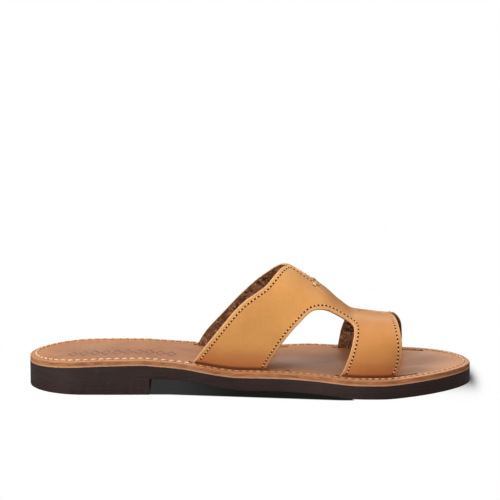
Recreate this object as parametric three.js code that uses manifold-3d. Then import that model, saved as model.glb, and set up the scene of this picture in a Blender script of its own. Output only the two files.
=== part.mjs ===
// A flat slide sandal for the left foot: a leather insole on a rubber outsole with a low heel lift,
// and over it a one-piece leather strap, H-shaped when laid flat, whose four feet pass through
// slits in the insole.
// Millimetres. While it is worked out, x runs from the back of the heel to the toe, y from the
// medial side (minus) to the lateral side (plus) with 0 on the heel's centre line, and z up from
// the floor.

import * as THREE from 'three';
import Module from 'manifold-3d';
import { mergeVertices } from 'three/addons/utils/BufferGeometryUtils.js';

const wasm = await Module();
wasm.setup();

// Driving sizes
const LENGTH = 250;          // sole, heel to toe
const BALL_WIDTH = 90;       // sole, across the ball
const HEEL_HEIGHT = 9;       // floor to the outsole's underside, at the heel lift's front
const TOE_SPRING = 3;        // floor to the outsole's underside at the toe
const INSTEP = 58;           // insole to the inside of the strap at its highest section
const INSOLE = 3.2;          // thickness of the leather insole
const OUTSOLE = 7.4;         // thickness of the rubber outsole under the ball
const STRAP = 2;             // thickness of the strap leather
const STRAP_INSET = 8;       // sole edge to the middle of the strap's slits
const SLIT_SPARE = 12;       // length of a slit in front of the strap's foot
const SLIT_BEHIND = 2;       // length of a slit behind the strap's foot
const EDGE_ROUND = 0.6;      // rounding of the edges of the sole's layers
const INSOLE_SETBACK = 0.2;  // the insole's edge behind the outsole's
const GAP = 0.3;             // clearance between neighbouring pieces
const BEND_ABOVE = 0.8;      // insole to the place where the strap leans out of its slit

// The sole's half widths from the heel's centre line, as shares of the ball width;
// 'at' is a share of the length in every table
const WIDTHS = [
  { at: 0.13, medial: 0.335, lateral: 0.348 },
  { at: 0.20, medial: 0.336, lateral: 0.328 },
  { at: 0.27, medial: 0.333, lateral: 0.312 },
  { at: 0.33, medial: 0.333, lateral: 0.328 },
  { at: 0.39, medial: 0.338, lateral: 0.380 },
  { at: 0.48, medial: 0.336, lateral: 0.445 },
  { at: 0.57, medial: 0.345, lateral: 0.505 },
  { at: 0.65, medial: 0.397, lateral: 0.550 },
  { at: 0.72, medial: 0.450, lateral: 0.560 },
  { at: 0.76, medial: 0.465, lateral: 0.560 },
  { at: 0.78, medial: 0.466, lateral: 0.560 },
];
// The heel is half an ellipse on each side and the toe a quarter of a superellipse; their tips
// lie off the centre line by a share of the ball width
const HEEL = { end: 0.13, tip: 0.02 };
const TOE = {
  tip: -0.085,
  medial: { start: 0.78, power: 1.8 },
  lateral: { start: 0.70, power: 2 },
};

// The forefoot's flat spot on the floor
const FLAT = { from: 0.74, to: 0.80 };
// Underside of the outsole as shares of the heel height and the toe spring, and the thickness of
// its rubber as a share of the outsole's
const UNDERSIDE = [
  { at: 0.000, heel: 0.66, toe: 0, rubber: 1.00 },
  { at: 0.115, heel: 0.88, toe: 0, rubber: 1.00 },
  { at: 0.185, heel: 0.965, toe: 0, rubber: 1.00 },
  { at: 0.260, heel: 1.00, toe: 0, rubber: 1.00 },
  { at: 0.300, heel: 0.99, toe: 0, rubber: 0.91 },
  { at: 0.345, heel: 0.91, toe: 0, rubber: 0.86 },
  { at: 0.390, heel: 0.70, toe: 0, rubber: 0.85 },
  { at: 0.430, heel: 0.47, toe: 0, rubber: 0.88 },
  { at: 0.475, heel: 0.27, toe: 0, rubber: 0.95 },
  { at: 0.560, heel: 0.23, toe: 0, rubber: 0.95 },
  { at: 0.640, heel: 0.18, toe: 0, rubber: 0.96 },
  { at: 0.700, heel: 0.06, toe: 0, rubber: 0.99 },
  { at: FLAT.from, heel: 0, toe: 0, rubber: 1.00 },
  { at: FLAT.to, heel: 0, toe: 0, rubber: 1.00 },
  { at: 0.820, heel: 0, toe: 0.05, rubber: 1.01 },
  { at: 0.850, heel: 0, toe: 0.20, rubber: 1.03 },
  { at: 0.885, heel: 0, toe: 0.38, rubber: 1.05 },
  { at: 0.930, heel: 0, toe: 0.62, rubber: 1.06 },
  { at: 0.975, heel: 0, toe: 0.87, rubber: 1.07 },
  { at: 1.000, heel: 0, toe: 1.00, rubber: 1.07 },
];
const BREAST_AT = 0.276;     // front face of the heel lift

// Sections of the last under the strap. Each leans back: it stands in the slits at 'at' and its
// ridge lies at 'ridge'. 'height' is a share of the instep, 'shift' and the lean and spread of
// each side are shares of the ball width, and 'rise' says how high the side keeps its lean.
const SECTIONS = [
  { at: 0.335, ridge: 0.545, height: 1.050, shift: -0.100, rise: 0.55,
    medialLean: 0.19, medialSpread: 0.24, lateralLean: 0.19, lateralSpread: 0.33 },
  { at: 0.400, ridge: 0.592, height: 0.962, shift: -0.105, rise: 0.55,
    medialLean: 0.17, medialSpread: 0.24, lateralLean: 0.17, lateralSpread: 0.33 },
  { at: 0.480, ridge: 0.630, height: 0.854, shift: -0.115, rise: 0.55,
    medialLean: 0.14, medialSpread: 0.24, lateralLean: 0.14, lateralSpread: 0.34 },
  { at: 0.560, ridge: 0.667, height: 0.754, shift: -0.130, rise: 0.56,
    medialLean: 0.12, medialSpread: 0.24, lateralLean: 0.12, lateralSpread: 0.34 },
  { at: 0.632, ridge: 0.703, height: 0.628, shift: -0.145, rise: 0.58,
    medialLean: 0.10, medialSpread: 0.24, lateralLean: 0.10, lateralSpread: 0.31 },
  { at: 0.690, ridge: 0.733, height: 0.552, shift: -0.160, rise: 0.60,
    medialLean: 0.09, medialSpread: 0.24, lateralLean: 0.08, lateralSpread: 0.28 },
  { at: 0.760, ridge: 0.780, height: 0.524, shift: -0.165, rise: 0.62,
    medialLean: 0.08, medialSpread: 0.24, lateralLean: 0.06, lateralSpread: 0.27 },
  { at: 0.870, ridge: 0.850, height: 0.494, shift: -0.165, rise: 0.62,
    medialLean: 0.08, medialSpread: 0.24, lateralLean: 0.06, lateralSpread: 0.27 },
];

// The strap's pattern, laid on those sections: 'at' names the section by its place at the slit,
// and 'up' is the share of the way from this side's slit (0) to the ridge (1) and past it.
const MEDIAL = {
  side: -1,
  rear: [
    { at: 0.374, up: 0.00 }, { at: 0.3645, up: 0.12 }, { at: 0.3555, up: 0.285 },
    { at: 0.352, up: 0.38 }, { at: 0.3545, up: 0.465 }, { at: 0.363, up: 0.545 },
    { at: 0.3692, up: 0.62 }, { at: 0.3702, up: 0.74 }, { at: 0.3725, up: 0.835 },
    { at: 0.379, up: 0.90 }, { at: 0.389, up: 0.953 },
  ],
  backNotch: [
    { at: 0.389, up: 0.953 }, { at: 0.400, up: 0.958 }, { at: 0.460, up: 0.958 },
    { at: 0.500, up: 0.958 }, { at: 0.514, up: 0.953 },
  ],
  windowRear: [
    { at: 0.536, up: 0.00 }, { at: 0.5315, up: 0.10 }, { at: 0.5294, up: 0.24 },
    { at: 0.532, up: 0.345 }, { at: 0.538, up: 0.44 }, { at: 0.544, up: 0.525 },
    { at: 0.553, up: 0.582 },
  ],
  windowTop: [
    { at: 0.553, up: 0.582 }, { at: 0.565, up: 0.619 }, { at: 0.582, up: 0.656 },
    { at: 0.601, up: 0.687 }, { at: 0.6225, up: 0.706 }, { at: 0.643, up: 0.714 },
    { at: 0.664, up: 0.717 }, { at: 0.682, up: 0.71 },
  ],
  windowFront: [
    { at: 0.705, up: 0.00 }, { at: 0.7073, up: 0.08 }, { at: 0.7088, up: 0.26 },
    { at: 0.7077, up: 0.38 }, { at: 0.7046, up: 0.527 }, { at: 0.6999, up: 0.615 },
    { at: 0.693, up: 0.674 }, { at: 0.682, up: 0.71 },
  ],
  frontNotch: [
    { at: 0.708, up: 1.058 }, { at: 0.730, up: 1.075 }, { at: 0.780, up: 1.085 },
    { at: 0.812, up: 1.083 }, { at: 0.824, up: 1.065 },
  ],
  front: [
    { at: 0.823, up: 0.00 }, { at: 0.833, up: 0.08 }, { at: 0.8405, up: 0.21 },
    { at: 0.8445, up: 0.36 }, { at: 0.8452, up: 0.50 }, { at: 0.843, up: 0.68 },
    { at: 0.839, up: 0.83 }, { at: 0.8345, up: 0.94 }, { at: 0.830, up: 1.02 },
    { at: 0.824, up: 1.065 },
  ],
};
const LATERAL = {
  side: 1,
  rear: [
    { at: 0.382, up: 0.00 }, { at: 0.3755, up: 0.08 }, { at: 0.3757, up: 0.20 },
    { at: 0.375, up: 0.33 }, { at: 0.3762, up: 0.48 }, { at: 0.380, up: 0.59 },
    { at: 0.3825, up: 0.69 }, { at: 0.387, up: 0.78 }, { at: 0.397, up: 0.84 },
  ],
  backNotch: [
    { at: 0.397, up: 0.84 }, { at: 0.430, up: 0.865 }, { at: 0.470, up: 0.90 },
    { at: 0.502, up: 0.93 }, { at: 0.514, up: 0.945 },
  ],
  windowRear: [
    { at: 0.536, up: 0.00 }, { at: 0.5315, up: 0.10 }, { at: 0.5294, up: 0.22 },
    { at: 0.532, up: 0.315 }, { at: 0.538, up: 0.40 }, { at: 0.544, up: 0.475 },
    { at: 0.553, up: 0.53 },
  ],
  windowTop: [
    { at: 0.553, up: 0.53 }, { at: 0.565, up: 0.572 }, { at: 0.582, up: 0.61 },
    { at: 0.601, up: 0.64 }, { at: 0.6225, up: 0.657 }, { at: 0.643, up: 0.664 },
    { at: 0.662, up: 0.662 }, { at: 0.680, up: 0.652 },
  ],
  windowFront: [
    { at: 0.7065, up: 0.00 }, { at: 0.7035, up: 0.11 }, { at: 0.7013, up: 0.20 },
    { at: 0.7005, up: 0.30 }, { at: 0.700, up: 0.40 }, { at: 0.697, up: 0.51 },
    { at: 0.691, up: 0.60 }, { at: 0.680, up: 0.652 },
  ],
  frontNotch: [
    { at: 0.708, up: 0.845 }, { at: 0.730, up: 0.828 }, { at: 0.780, up: 0.815 },
    { at: 0.812, up: 0.812 }, { at: 0.826, up: 0.80 },
  ],
  front: [
    { at: 0.850, up: 0.00 }, { at: 0.8557, up: 0.12 }, { at: 0.8585, up: 0.25 },
    { at: 0.8585, up: 0.36 }, { at: 0.853, up: 0.48 }, { at: 0.844, up: 0.59 },
    { at: 0.838, up: 0.68 }, { at: 0.833, up: 0.76 }, { at: 0.826, up: 0.80 },
  ],
};

// How finely the curved forms are divided
const HEEL_STEPS = 9;
const SIDE_STEP = 0.02;      // share of the length
const TOE_STEPS = 14;
const SLIT_STEPS = 10;
const LEG_ROWS = 13;         // strap foot to the window's upper corner
const SHOULDER_ROWS = 8;     // window's upper corner to the notch
const BRIDGE_ROWS = 3;       // across the end of a notch
const LEG_COLUMNS = 8;
const BRIDGE_COLUMNS = 8;
const NUDGE = 0.001;         // step for slopes and normals, share of the length or girth
const CUT_PAST = 1;          // how far a cutter reaches past what it cuts

// A table's value at a place, on a smooth curve that never swings past its rows
function between(rows, key, at) {
  const place = THREE.MathUtils.clamp(at, rows[0].at, rows[rows.length - 1].at);
  let k = 0;
  while (k < rows.length - 2 && place > rows[k + 1].at) k += 1;
  const slopeOf = (i) => (rows[i + 1][key] - rows[i][key]) / (rows[i + 1].at - rows[i].at);
  const tangent = (i) => {
    if (i === 0) return slopeOf(0);
    if (i === rows.length - 1) return slopeOf(i - 1);
    const before = slopeOf(i - 1);
    const after = slopeOf(i);
    return before * after <= 0 ? 0 : (2 * before * after) / (before + after);
  };
  const span = rows[k + 1].at - rows[k].at;
  const t = (place - rows[k].at) / span;
  const s = 1 - t;
  return (1 + 2 * t) * s * s * rows[k][key] + t * s * s * span * tangent(k)
    + t * t * (3 - 2 * t) * rows[k + 1][key] - t * t * s * span * tangent(k + 1);
}

// Heights of the sole's faces along its length
function underside(x) {
  const at = x / LENGTH;
  return between(UNDERSIDE, 'heel', at) * HEEL_HEIGHT + between(UNDERSIDE, 'toe', at) * TOE_SPRING;
}
const outsoleTop = (x) => underside(x) + between(UNDERSIDE, 'rubber', x / LENGTH) * OUTSOLE;
const insoleBottom = (x) => outsoleTop(x) + GAP;
const seat = (x) => insoleBottom(x) + INSOLE;

// The sole's edge, on the medial (side -1) or the lateral side (side 1)
function edge(x, side) {
  const name = side < 0 ? 'medial' : 'lateral';
  const at = THREE.MathUtils.clamp(x / LENGTH, 0, 1);
  const full = (place) => side * between(WIDTHS, name, place) * BALL_WIDTH;
  if (at < HEEL.end) {
    const tip = HEEL.tip * BALL_WIDTH;
    const ahead = 1 - at / HEEL.end;
    return tip + (full(HEEL.end) - tip) * Math.sqrt(1 - ahead * ahead);
  }
  const { start, power } = TOE[name];
  if (at <= start) return full(at);
  const tip = TOE.tip * BALL_WIDTH;
  const along = (at - start) / (1 - start);
  return tip + (full(start) - tip) * (1 - along ** power) ** (1 / power);
}

// Places along the sole, close together where the heel and the toe turn, and one at each end of
// the flat spot in the stead of what is closest to it
function stations(from, to) {
  const places = [];
  const toeFrom = TOE.medial.start;
  for (let k = 0; k < HEEL_STEPS; k += 1) {
    places.push(HEEL.end * (1 - Math.cos((Math.PI / 2) * (k / HEEL_STEPS))));
  }
  const steps = Math.round((toeFrom - HEEL.end) / SIDE_STEP);
  for (let k = 0; k < steps; k += 1) {
    places.push(HEEL.end + (toeFrom - HEEL.end) * (k / steps));
  }
  for (let k = 0; k <= TOE_STEPS; k += 1) {
    places.push(toeFrom + (1 - toeFrom) * Math.sin((Math.PI / 2) * (k / TOE_STEPS)));
  }
  for (const end of [FLAT.from, FLAT.to]) {
    const distances = places.map((at) => Math.abs(at - end));
    places[distances.indexOf(Math.min(...distances))] = end;
  }
  const inner = places.filter((at) => at > from + NUDGE && at < to - NUDGE);
  return [from, ...inner, to].map((at) => at * LENGTH);
}

// A closed geometry from corner positions and quads or triangles; repeated corners are merged
function closedGeometry(corners, faces) {
  const triangles = [];
  for (const face of faces) {
    for (let k = 1; k < face.length - 1; k += 1) triangles.push(face[0], face[k], face[k + 1]);
  }
  const geometry = new THREE.BufferGeometry();
  geometry.setAttribute('position', new THREE.Float32BufferAttribute(corners.flat(), 3));
  geometry.setIndex(triangles);
  const merged = mergeVertices(geometry);
  const index = merged.getIndex().array;
  const kept = [];
  for (let k = 0; k < index.length; k += 3) {
    const [a, b, c] = [index[k], index[k + 1], index[k + 2]];
    if (a !== b && b !== c && c !== a) kept.push(a, b, c);
  }
  merged.setIndex(kept);
  return merged;
}

// A ring of plan points moved inwards by a distance
function insetRing(ring, distance) {
  return ring.map(([x, y], k) => {
    const before = ring[(k + ring.length - 1) % ring.length];
    const after = ring[(k + 1) % ring.length];
    const along = new THREE.Vector2(after[0] - before[0], after[1] - before[1]).normalize();
    return [x - along.y * distance, y + along.x * distance];
  });
}

// One layer of the sole: its outline at several levels, with a face across the lowest and the
// highest. Each level has an inset and a height along the length.
function soleLayer(places, levels) {
  const heelPoint = [places[0], HEEL.tip * BALL_WIDTH];
  const medial = places.slice(1).map((x) => [x, edge(x, -1)]);
  const lateral = places.slice(1).map((x) => [x, edge(x, 1)]);
  const endsInTip = Math.abs(medial.at(-1)[1] - lateral.at(-1)[1]) < NUDGE;
  const back = endsInTip ? lateral.slice(0, -1) : lateral;
  const outline = [heelPoint, ...medial, ...back.toReversed()];
  const count = outline.length;
  const corners = [];
  const faces = [];
  for (const level of levels) {
    for (const [x, y] of insetRing(outline, level.inset)) corners.push([x, y, level.height(x)]);
  }
  for (let level = 0; level < levels.length - 1; level += 1) {
    for (let k = 0; k < count; k += 1) {
      const next = (k + 1) % count;
      const base = level * count;
      faces.push([base + k, base + next, base + count + next, base + count + k]);
    }
  }
  // The faces across run from each medial corner to its lateral partner
  const partner = (k) => (count - k) % count;
  const last = (levels.length - 1) * count;
  const strips = medial.length;
  for (let k = 0; k < strips; k += 1) {
    const [a, b, c, d] = [k, k + 1, partner(k + 1), partner(k)];
    faces.push([a, d, c, b]);
    faces.push([last + a, last + b, last + c, last + d]);
  }
  return closedGeometry(corners, faces);
}

// The strap's slits: the line of the strap's inner face, and the direction to its outer face
function slitLine(x, side) {
  return edge(x, side) - side * (STRAP_INSET + STRAP / 2);
}
function slitNormal(x, side) {
  const step = NUDGE * LENGTH;
  const slope = (slitLine(x + step, side) - slitLine(x - step, side)) / (2 * step);
  return new THREE.Vector2(-slope * side, side).normalize();
}
function slitCutter(side, from, to) {
  const corners = [];
  const faces = [];
  for (let k = 0; k <= SLIT_STEPS; k += 1) {
    const x = THREE.MathUtils.lerp(from, to, k / SLIT_STEPS);
    const out = slitNormal(x, side);
    const low = insoleBottom(x) - CUT_PAST;
    const high = seat(x) + CUT_PAST;
    const inner = [x - out.x * GAP, slitLine(x, side) - out.y * GAP];
    const outer = [x + out.x * (STRAP + GAP), slitLine(x, side) + out.y * (STRAP + GAP)];
    corners.push([...inner, low], [...outer, low], [...outer, high], [...inner, high]);
  }
  for (let k = 0; k < SLIT_STEPS; k += 1) {
    for (let corner = 0; corner < 4; corner += 1) {
      const next = (corner + 1) % 4;
      faces.push([4 * k + corner, 4 * (k + 1) + corner, 4 * (k + 1) + next, 4 * k + next]);
    }
  }
  faces.push([0, 1, 2, 3]);
  faces.push([3, 2, 1, 0].map((corner) => 4 * SLIT_STEPS + corner));
  return closedGeometry(corners, side < 0 ? faces : faces.map((face) => face.toReversed()));
}

// Conversions between a geometry and a solid that can be cut
function solidOf(geometry) {
  const mesh = new wasm.Mesh({
    numProp: 3,
    vertProperties: geometry.getAttribute('position').array,
    triVerts: new Uint32Array(geometry.getIndex().array),
  });
  return new wasm.Manifold(mesh);
}
function geometryOf(solid) {
  const mesh = solid.getMesh();
  const geometry = new THREE.BufferGeometry();
  geometry.setAttribute('position', new THREE.BufferAttribute(mesh.vertProperties, 3));
  geometry.setIndex(new THREE.BufferAttribute(mesh.triVerts, 1));
  geometry.computeVertexNormals();
  return geometry;
}

// The surface of the last under the strap: girth -1 is the medial slit, 0 the ridge and 1 the
// lateral slit, and past the slits the surface goes straight down
function lastPoint(at, girth) {
  const side = girth < 0 ? -1 : 1;
  const row = (key) => between(SECTIONS, key, at);
  const lean = row(side < 0 ? 'medialLean' : 'lateralLean') * BALL_WIDTH;
  const spread = row(side < 0 ? 'medialSpread' : 'lateralSpread') * BALL_WIDTH;
  const x = at * LENGTH;
  const ridge = row('ridge') * LENGTH;
  const crest = seat(ridge) + row('height') * INSTEP;
  const foot = new THREE.Vector3(x, slitLine(x, side), seat(x) + BEND_ABOVE);
  const top = new THREE.Vector3(ridge, row('shift') * BALL_WIDTH, crest);
  const up = 1 - Math.abs(girth);
  if (up < 0) return foot.setZ(foot.z + up * INSTEP);
  const flank = foot.clone().lerp(top, row('rise')).setY(foot.y + side * lean);
  const crown = top.clone().setY(top.y + side * spread);
  return new THREE.CubicBezierCurve3(foot, flank, crown, top).getPoint(up);
}
function lastNormal(at, girth) {
  const along = lastPoint(at + NUDGE, girth).sub(lastPoint(at - NUDGE, girth));
  const across = lastPoint(at, girth + NUDGE).sub(lastPoint(at, girth - NUDGE));
  return along.cross(across).normalize();
}

// Rows of pattern points [at, girth]: along a table's curve, and along a straight line
const shares = (count) => Array.from({ length: count + 1 }, (_, k) => k / count);
const mix = (a, b, t) => [a[0] + (b[0] - a[0]) * t, a[1] + (b[1] - a[1]) * t];
const line = (a, b, count) => shares(count).map((t) => mix(a, b, t));
function patternCurve(half, name, count) {
  const rows = half[name];
  const points = rows.map((row) => new THREE.Vector2(row.at * LENGTH, row.up * BALL_WIDTH));
  const curve = new THREE.SplineCurve(points);
  return shares(count).map((share) => {
    const point = curve.getPointAt(share);
    return [point.x / LENGTH, half.side * (1 - point.y / BALL_WIDTH)];
  });
}

// A four-sided patch of the pattern, filled between its left, right, bottom and top rows
function patch(left, right, bottom, top) {
  const rows = left.length - 1;
  const columns = bottom.length - 1;
  return left.map((start, j) => bottom.map((low, i) => {
    if (i === 0) return start;
    if (i === columns) return right[j];
    if (j === 0) return low;
    if (j === rows) return top[i];
    const [s, t] = [i / columns, j / rows];
    const across = mix(start, right[j], s);
    const upward = mix(low, top[i], t);
    const corners = mix(mix(left[0], right[0], s), mix(left[rows], right[rows], s), t);
    return [across[0] + upward[0] - corners[0], across[1] + upward[1] - corners[1]];
  }));
}

// A strap leg: a tab down through the slit, then up between its two edges to the notch
function legPatch(left, right, top, side) {
  const foot = line(left[0], right[0], LEG_COLUMNS);
  const tabEnd = side * (1 + (BEND_ABOVE + INSOLE) / INSTEP);
  return [foot.map(([at]) => [at, tabEnd]), ...patch(left, right, foot, top)];
}

// The strap's pattern: four legs, and a bridge between them over the ridge
function strapPatches() {
  const patches = [];
  const bridge = {};
  for (const half of [MEDIAL, LATERAL]) {
    const edgeRows = LEG_ROWS + SHOULDER_ROWS;
    const windowRear = patternCurve(half, 'windowRear', LEG_ROWS);
    const windowFront = patternCurve(half, 'windowFront', LEG_ROWS);
    const backNotch = patternCurve(half, 'backNotch', LEG_COLUMNS);
    const frontNotch = patternCurve(half, 'frontNotch', LEG_COLUMNS);
    const backShoulder = line(windowRear.at(-1), backNotch.at(-1), SHOULDER_ROWS);
    const frontShoulder = line(windowFront.at(-1), frontNotch[0], SHOULDER_ROWS);
    const backInside = [...windowRear, ...backShoulder.slice(1)];
    const frontInside = [...windowFront, ...frontShoulder.slice(1)];
    const rear = patternCurve(half, 'rear', edgeRows);
    const front = patternCurve(half, 'front', edgeRows);
    patches.push(legPatch(rear, backInside, backNotch, half.side));
    patches.push(legPatch(frontInside, front, frontNotch, half.side));
    const windowTop = patternCurve(half, 'windowTop', BRIDGE_COLUMNS);
    bridge[half.side] = { backShoulder, frontShoulder, windowTop };
  }
  const [medial, lateral] = [bridge[-1], bridge[1]];
  const over = (name) => [
    ...medial[name],
    ...line(medial[name].at(-1), lateral[name].at(-1), BRIDGE_ROWS).slice(1, -1),
    ...lateral[name].toReversed(),
  ];
  patches.push(patch(over('backShoulder'), over('frontShoulder'), medial.windowTop, lateral.windowTop));
  return patches;
}

// The patches joined into one sheet, with each repeated point kept once
function strapSheet() {
  const points = [];
  const numbers = new Map();
  const numberOf = (point) => {
    const name = point.map((value) => value.toFixed(6)).join();
    if (!numbers.has(name)) numbers.set(name, points.push(point) - 1);
    return numbers.get(name);
  };
  const faces = [];
  for (const rows of strapPatches()) {
    for (let j = 0; j < rows.length - 1; j += 1) {
      for (let i = 0; i < rows[j].length - 1; i += 1) {
        const corners = [rows[j][i], rows[j][i + 1], rows[j + 1][i + 1], rows[j + 1][i]];
        const doubleArea = (corners[2][0] - corners[0][0]) * (corners[3][1] - corners[1][1])
          - (corners[3][0] - corners[1][0]) * (corners[2][1] - corners[0][1]);
        const face = corners.map(numberOf);
        faces.push(doubleArea > 0 ? face : face.toReversed());
      }
    }
  }
  return { points, faces };
}

// The strap: the sheet's inner and outer faces, and a wall along every free edge
function strapGeometry() {
  const { points, faces } = strapSheet();
  const inner = points.map(([at, girth]) => lastPoint(at, girth));
  const outer = points.map(([at, girth], k) => inner[k].clone().addScaledVector(lastNormal(at, girth), STRAP));
  const count = points.length;
  const edges = new Map();
  for (const face of faces) {
    face.forEach((a, k) => edges.set(`${a},${face[(k + 1) % face.length]}`, [a, face[(k + 1) % face.length]]));
  }
  const walls = [...edges.values()]
    .filter(([a, b]) => !edges.has(`${b},${a}`))
    .map(([a, b]) => [count + b, count + a, a, b]);
  const insides = faces.map((face) => face.toReversed());
  const outsides = faces.map((face) => face.map((k) => k + count));
  const corners = [...inner, ...outer].map((point) => point.toArray());
  return closedGeometry(corners, [...insides, ...outsides, ...walls]);
}

// The sole's three layers, from the floor up
function heelLiftGeometry() {
  const top = (x) => underside(x) - GAP;
  return soleLayer(stations(0, BREAST_AT), [
    { inset: EDGE_ROUND, height: () => 0 },
    { inset: 0, height: () => EDGE_ROUND },
    { inset: 0, height: top },
  ]);
}
function outsoleGeometry() {
  return soleLayer(stations(0, 1), [
    { inset: EDGE_ROUND, height: underside },
    { inset: 0, height: (x) => underside(x) + EDGE_ROUND },
    { inset: 0, height: outsoleTop },
  ]);
}
function insoleGeometry() {
  let insole = solidOf(soleLayer(stations(0, 1), [
    { inset: INSOLE_SETBACK, height: insoleBottom },
    { inset: INSOLE_SETBACK, height: (x) => seat(x) - EDGE_ROUND },
    { inset: INSOLE_SETBACK + EDGE_ROUND, height: seat },
  ]));
  for (const half of [MEDIAL, LATERAL]) {
    const feet = [[half.rear, half.windowRear], [half.windowFront, half.front]];
    for (const [behind, ahead] of feet) {
      const from = behind[0].at * LENGTH - SLIT_BEHIND;
      const to = ahead[0].at * LENGTH + SLIT_SPARE;
      insole = insole.subtract(solidOf(slitCutter(half.side, from, to)));
    }
  }
  return geometryOf(insole);
}

// Colours and finishes
const RUBBER = new THREE.MeshStandardMaterial({ color: 0x3b2c28, roughness: 0.75, metalness: 0 });
const INSOLE_LEATHER = new THREE.MeshStandardMaterial({ color: 0xb98a5e, roughness: 0.45, metalness: 0 });
const STRAP_LEATHER = new THREE.MeshStandardMaterial({ color: 0xc98d4f, roughness: 0.5, metalness: 0 });

function piece(name, geometry, material) {
  const mesh = new THREE.Mesh(geometry, material);
  mesh.name = name;
  return mesh;
}

const sandal = new THREE.Group();
sandal.add(piece('heel_lift', heelLiftGeometry(), RUBBER));
sandal.add(piece('outsole', outsoleGeometry(), RUBBER));
sandal.add(piece('insole', insoleGeometry(), INSOLE_LEATHER));
sandal.add(piece('upper', strapGeometry(), STRAP_LEATHER));

// The origin is on the floor, under the middle of the whole sandal's box
const middle = new THREE.Box3().setFromObject(sandal).getCenter(new THREE.Vector3());
sandal.position.set(-middle.x, -middle.y, 0);

export default sandal;
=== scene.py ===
# A flat slide sandal for the left foot, dressed over its fixed frame: leather strap, leather insole,
# rubber outsole and heel lift, with stitches, awl holes, raw cut edges and a rough flesh side.
# Shapes are worked out in millimetres, with x from the back of the heel to the toe, y from the
# heel's centre line to the lateral side and z up from the floor, and then moved into the frame.

import math

import bpy
import numpy as np
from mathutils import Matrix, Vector, noise
from mathutils.bvhtree import BVHTree


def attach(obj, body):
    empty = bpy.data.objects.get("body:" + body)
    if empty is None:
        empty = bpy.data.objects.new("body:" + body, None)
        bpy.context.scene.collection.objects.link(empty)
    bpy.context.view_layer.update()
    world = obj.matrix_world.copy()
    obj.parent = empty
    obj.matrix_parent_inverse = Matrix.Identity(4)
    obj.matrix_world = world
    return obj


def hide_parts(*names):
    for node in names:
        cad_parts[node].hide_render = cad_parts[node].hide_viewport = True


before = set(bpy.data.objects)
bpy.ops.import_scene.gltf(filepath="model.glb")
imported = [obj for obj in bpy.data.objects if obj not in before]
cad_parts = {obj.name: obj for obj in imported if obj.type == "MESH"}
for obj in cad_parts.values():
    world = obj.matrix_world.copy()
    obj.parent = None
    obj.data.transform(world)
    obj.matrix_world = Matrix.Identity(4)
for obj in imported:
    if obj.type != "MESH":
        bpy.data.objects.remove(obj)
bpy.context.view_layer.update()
MM = 0.001

# Driving sizes
LENGTH = 250.0
BALL_WIDTH = 90.0
HEEL_HEIGHT = 9.0
TOE_SPRING = 3.0
INSTEP = 58.0
INSOLE = 3.2
OUTSOLE = 7.4
STRAP = 2.0
STRAP_INSET = 8.0
SLIT_SPARE = 12.0
SLIT_BEHIND = 2.0
GAP = 0.3
BEND_ABOVE = 0.8
BREAST_AT = 0.276
SEAM = 0.06            # what is left of the gap between the layers of the sole

# Half widths of the sole as shares of the ball width; 'at' is a share of the length everywhere
WIDTHS = {
    "at": (0.13, 0.20, 0.27, 0.33, 0.39, 0.48, 0.57, 0.65, 0.72, 0.76, 0.78),
    "medial": (0.335, 0.336, 0.333, 0.333, 0.338, 0.336, 0.345, 0.397, 0.450, 0.465, 0.466),
    "lateral": (0.348, 0.328, 0.312, 0.328, 0.380, 0.445, 0.505, 0.550, 0.560, 0.560, 0.560),
}
HEEL = {"end": 0.13, "tip": 0.02}
TOE = {"tip": -0.085, "medial": (0.78, 1.8), "lateral": (0.70, 2.0)}

# Underside of the outsole: shares of the heel height and the toe spring, and of the rubber
UNDERSIDE = {
    "at": (0, 0.115, 0.185, 0.26, 0.30, 0.345, 0.39, 0.43, 0.475, 0.56, 0.64, 0.70, 0.74, 0.80, 0.82,
           0.85, 0.885, 0.93, 0.975, 1),
    "heel": (0.66, 0.88, 0.965, 1, 0.99, 0.91, 0.70, 0.47, 0.27, 0.23, 0.18, 0.06, 0, 0, 0,
             0, 0, 0, 0, 0),
    "toe": (0, 0, 0, 0, 0, 0, 0, 0, 0, 0, 0, 0, 0, 0, 0.05,
            0.20, 0.38, 0.62, 0.87, 1),
    "rubber": (1, 1, 1, 1, 0.91, 0.86, 0.85, 0.88, 0.95, 0.95, 0.96, 0.99, 1, 1, 1.01,
               1.03, 1.05, 1.06, 1.07, 1.07),
}

# Sections of the last under the strap, each leaning back from its slits to its ridge
SECTIONS = {
    "at": (0.335, 0.400, 0.480, 0.560, 0.632, 0.690, 0.760, 0.870),
    "ridge": (0.545, 0.592, 0.630, 0.667, 0.703, 0.733, 0.780, 0.850),
    "height": (1.050, 0.962, 0.854, 0.754, 0.628, 0.552, 0.524, 0.494),
    "shift": (-0.100, -0.105, -0.115, -0.130, -0.145, -0.160, -0.165, -0.165),
    "rise": (0.55, 0.55, 0.55, 0.56, 0.58, 0.60, 0.62, 0.62),
    "medial lean": (0.19, 0.17, 0.14, 0.12, 0.10, 0.09, 0.08, 0.08),
    "medial spread": (0.24, 0.24, 0.24, 0.24, 0.24, 0.24, 0.24, 0.24),
    "lateral lean": (0.19, 0.17, 0.14, 0.12, 0.10, 0.08, 0.06, 0.06),
    "lateral spread": (0.33, 0.33, 0.34, 0.34, 0.31, 0.28, 0.27, 0.27),
}

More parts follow.
